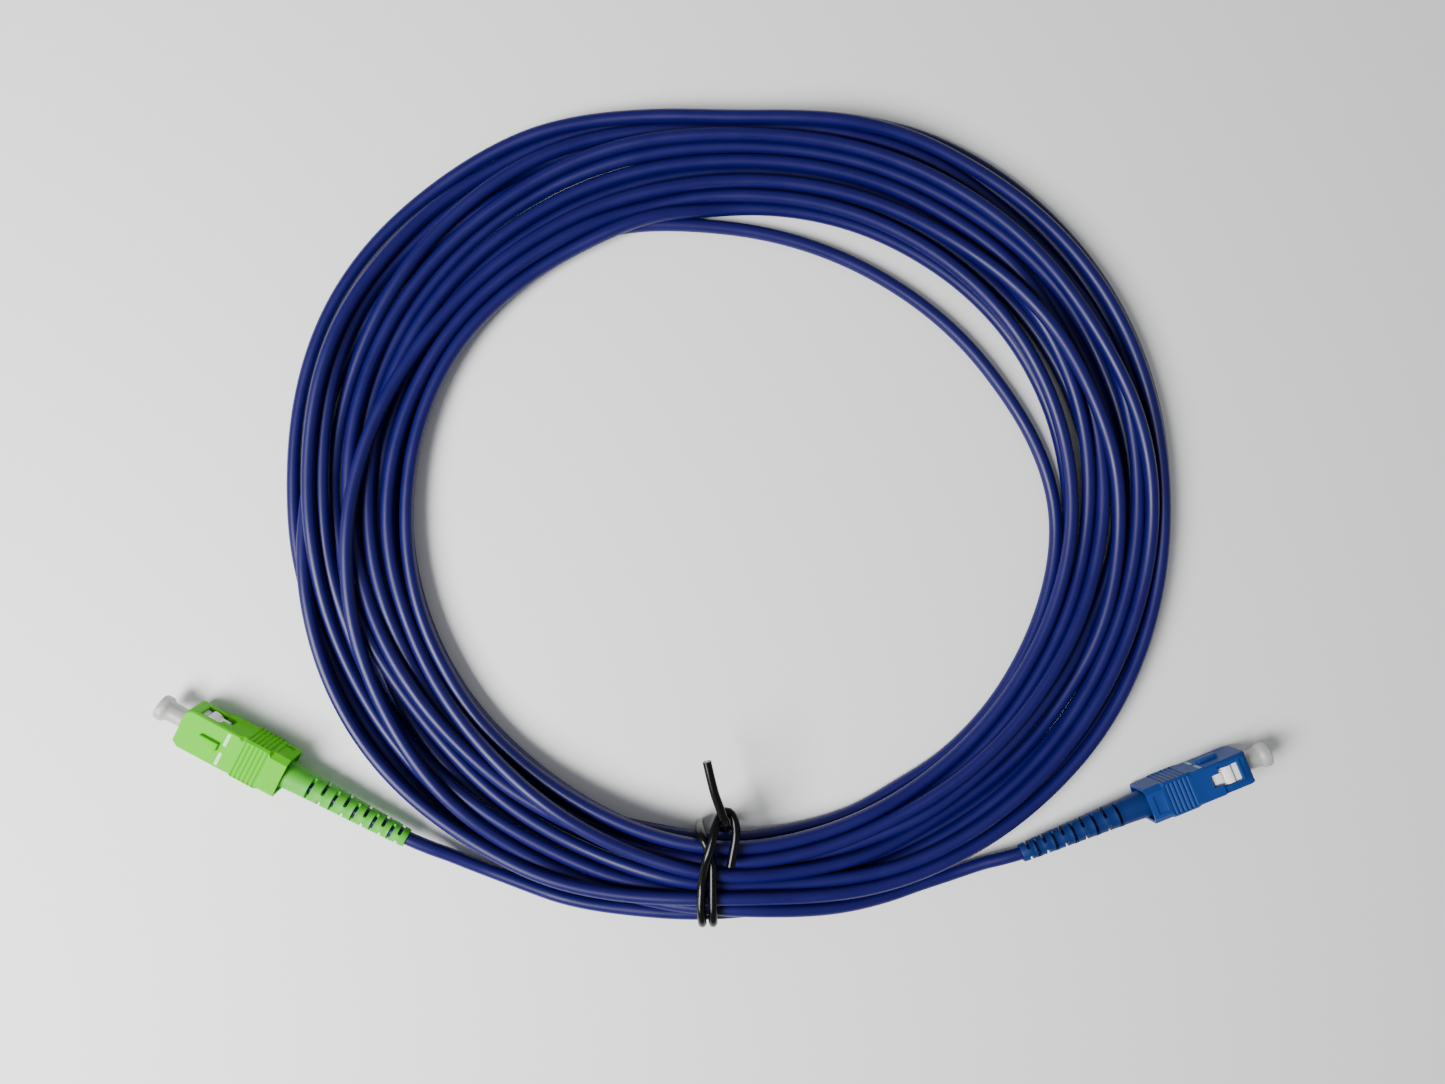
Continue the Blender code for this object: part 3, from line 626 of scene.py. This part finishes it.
def surface(name, colour, roughness, uneven=0.04, shade=0.06, grain=0.012, grain_size=0.25, patch_size=6.0,
            metallic=0.0, shine=0.5):
    """A procedural finish. Its colour and roughness vary in soft patches, and a fine grain bumps it. Sizes
    are in millimetres."""
    material = bpy.data.materials.new(name)
    material.use_nodes = True
    nodes, links = material.node_tree.nodes, material.node_tree.links
    shader = nodes["Principled BSDF"]
    shader.inputs["Metallic"].default_value = metallic
    shader.inputs["Specular IOR Level"].default_value = shine
    place = nodes.new("ShaderNodeTexCoord")
    patches = nodes.new("ShaderNodeTexNoise")
    patches.inputs["Scale"].default_value = 1.0 / (patch_size * MM)
    patches.inputs["Detail"].default_value = 3.0
    links.new(place.outputs["Object"], patches.inputs["Vector"])
    tint = nodes.new("ShaderNodeMix")
    tint.data_type = "RGBA"
    tint.inputs["A"].default_value = (*[c * (1 - shade) for c in colour], 1.0)
    tint.inputs["B"].default_value = (*[min(1.0, c * (1 + shade)) for c in colour], 1.0)
    links.new(patches.outputs["Fac"], tint.inputs["Factor"])
    links.new(tint.outputs["Result"], shader.inputs["Base Color"])
    gloss = nodes.new("ShaderNodeMapRange")
    gloss.inputs["From Min"].default_value = 0.3
    gloss.inputs["From Max"].default_value = 0.7
    gloss.inputs["To Min"].default_value = roughness - uneven
    gloss.inputs["To Max"].default_value = roughness + uneven
    links.new(patches.outputs["Fac"], gloss.inputs["Value"])
    links.new(gloss.outputs["Result"], shader.inputs["Roughness"])
    fine = nodes.new("ShaderNodeTexNoise")
    fine.inputs["Scale"].default_value = 1.0 / (grain_size * MM)
    fine.inputs["Detail"].default_value = 2.0
    links.new(place.outputs["Object"], fine.inputs["Vector"])
    bump = nodes.new("ShaderNodeBump")
    bump.inputs["Strength"].default_value = 0.6
    bump.inputs["Distance"].default_value = grain * MM
    links.new(fine.outputs["Fac"], bump.inputs["Height"])
    links.new(bump.outputs["Normal"], shader.inputs["Normal"])
    return material


def make_looks():
    """Every finish, by the material slot it stands for, and the paint of the marks."""
    looks = {
        "green_plastic": surface("green_moulding", (0.085, 0.52, 0.002), 0.5, shine=0.08),
        "green_rubber": surface("green_boot_rubber", (0.07, 0.42, 0.025), 0.52, grain=0.015, shine=0.25),
        "blue_plastic": surface("blue_moulding", (0.006, 0.038, 0.19), 0.5, shine=0.2),
        "blue_rubber": surface("blue_boot_rubber", (0.003, 0.019, 0.11), 0.5, grain=0.015, shine=0.25),
        "frame_plastic": surface("white_moulding", (0.86, 0.86, 0.84), 0.42, shade=0.02),
        "green_marks": surface("green_mark_paint", (0.50, 0.93, 0.42), 0.5, shade=0.02, shine=0.2),
        "blue_marks": surface("blue_mark_paint", (0.20, 0.36, 0.50), 0.5, shade=0.02, shine=0.2),
        "cap_plastic": surface("frosted_cap", (0.66, 0.66, 0.64), 0.42, shade=0.02, grain=0.02),
        "ceramic": surface("zirconia", (0.90, 0.90, 0.88), 0.12, uneven=0.03, shade=0.01, grain=0.001),
        "steel": surface("steel", (0.60, 0.60, 0.62), 0.32, metallic=1.0, grain=0.004, grain_size=0.1),
        "nickel": surface("nickel_plate", (0.72, 0.70, 0.66), 0.28, metallic=1.0, grain=0.003),
        "fibre_buffer": surface("fibre_coating", (0.88, 0.86, 0.78), 0.45, shade=0.03),
        "jacket": surface("cord_jacket", (0.004, 0.002, 0.08), 0.4, shade=0.12, uneven=0.05, grain=0.01,
                          grain_size=0.4, patch_size=9.0, shine=0.32),
        "tie_plastic": surface("tie_coating", (0.0015, 0.0015, 0.002), 0.22, shade=0.2, shine=0.25),
    }
    cap = looks["cap_plastic"].node_tree.nodes["Principled BSDF"]
    cap.inputs["Transmission Weight"].default_value = 0.5
    cap.inputs["IOR"].default_value = 1.49
    return looks


# ---------------------------------------------------------------- the object

LOOKS = make_looks()
for side in PLUGS:
    make_grip(side)
    make_key_marks(side)
    make_plug_frame(side)
    make_spring(side)
    make_cap(side)
    make_boot(side)
make_tie()
for row in frame["record"]["subparts"]:
    node = frame["nodes"][row["node"]]
    node.data.materials.clear()
    node.data.materials.append(LOOKS[row["material_slot"]])

route = cord_route()
cord = tube("patch_cord", route, CORD_DIAMETER / 2)
cord.data.materials.append(LOOKS["jacket"])
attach(cord, ROOT_BODY)
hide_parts("cord_coil", "cord_loose_turn", "cord_lead_green", "cord_lead_blue")


# ---------------------------------------------------------------- camera, light and floor

def make_camera():
    """The camera, which looks almost straight down."""
    data = bpy.data.cameras.new("camera")
    data.lens = CAMERA_LENS
    data.sensor_width = 36.0
    data.clip_start = 0.01
    camera = bpy.data.objects.new("camera", data)
    bpy.context.scene.collection.objects.link(camera)
    tilt = math.radians(CAMERA_TILT)
    right = Vector((math.cos(tilt), 0.0, math.sin(tilt)))
    up = Vector((0.0, 1.0, 0.0))
    back = right.cross(up)
    turn = Matrix((right, up, back)).transposed().to_4x4()
    camera.matrix_world = Matrix.Translation(Vector(CAMERA_PLACE) * MM) @ turn
    bpy.context.scene.camera = camera


def plain(name, colour, roughness):
    """A finish with one colour and one roughness."""
    material = bpy.data.materials.new(name)
    material.use_nodes = True
    shader = material.node_tree.nodes["Principled BSDF"]
    shader.inputs["Base Color"].default_value = (*colour, 1.0)
    shader.inputs["Roughness"].default_value = roughness
    return material


def area_light(name, place, aim, size, power):
    """A rectangular light at a place, aimed at a point."""
    data = bpy.data.lights.new(name, "AREA")
    data.shape = "RECTANGLE"
    data.size, data.size_y = size
    data.energy = power
    lamp = bpy.data.objects.new(name, data)
    bpy.context.scene.collection.objects.link(lamp)
    place = Vector(place)
    lamp.location = place
    lamp.rotation_euler = (Vector(aim) - place).to_track_quat("-Z", "Y").to_euler()
    return lamp


def make_stage():
    """A plain pale floor, a soft room light and one large window light."""
    mesh = bpy.data.meshes.new("floor")
    work = bmesh.new()
    bmesh.ops.create_grid(work, x_segments=1, y_segments=1, size=FLOOR_HALF)
    work.to_mesh(mesh)
    work.free()
    floor = bpy.data.objects.new("floor", mesh)
    floor.location = FLOOR_PLACE
    bpy.context.scene.collection.objects.link(floor)
    mesh.materials.append(plain("floor_white", (0.86, 0.86, 0.855), 0.6))
    world = bpy.data.worlds.new("soft_room")
    world.use_nodes = True
    room = world.node_tree.nodes["Background"]
    room.inputs["Color"].default_value = (0.95, 0.97, 1.0, 1.0)
    room.inputs["Strength"].default_value = 0.32
    bpy.context.scene.world = world
    area_light("window", (-0.38, -0.14, 0.44), (-0.1, 0.03, 0.0), (0.28, 0.34), 8.5)


make_camera()
make_stage()
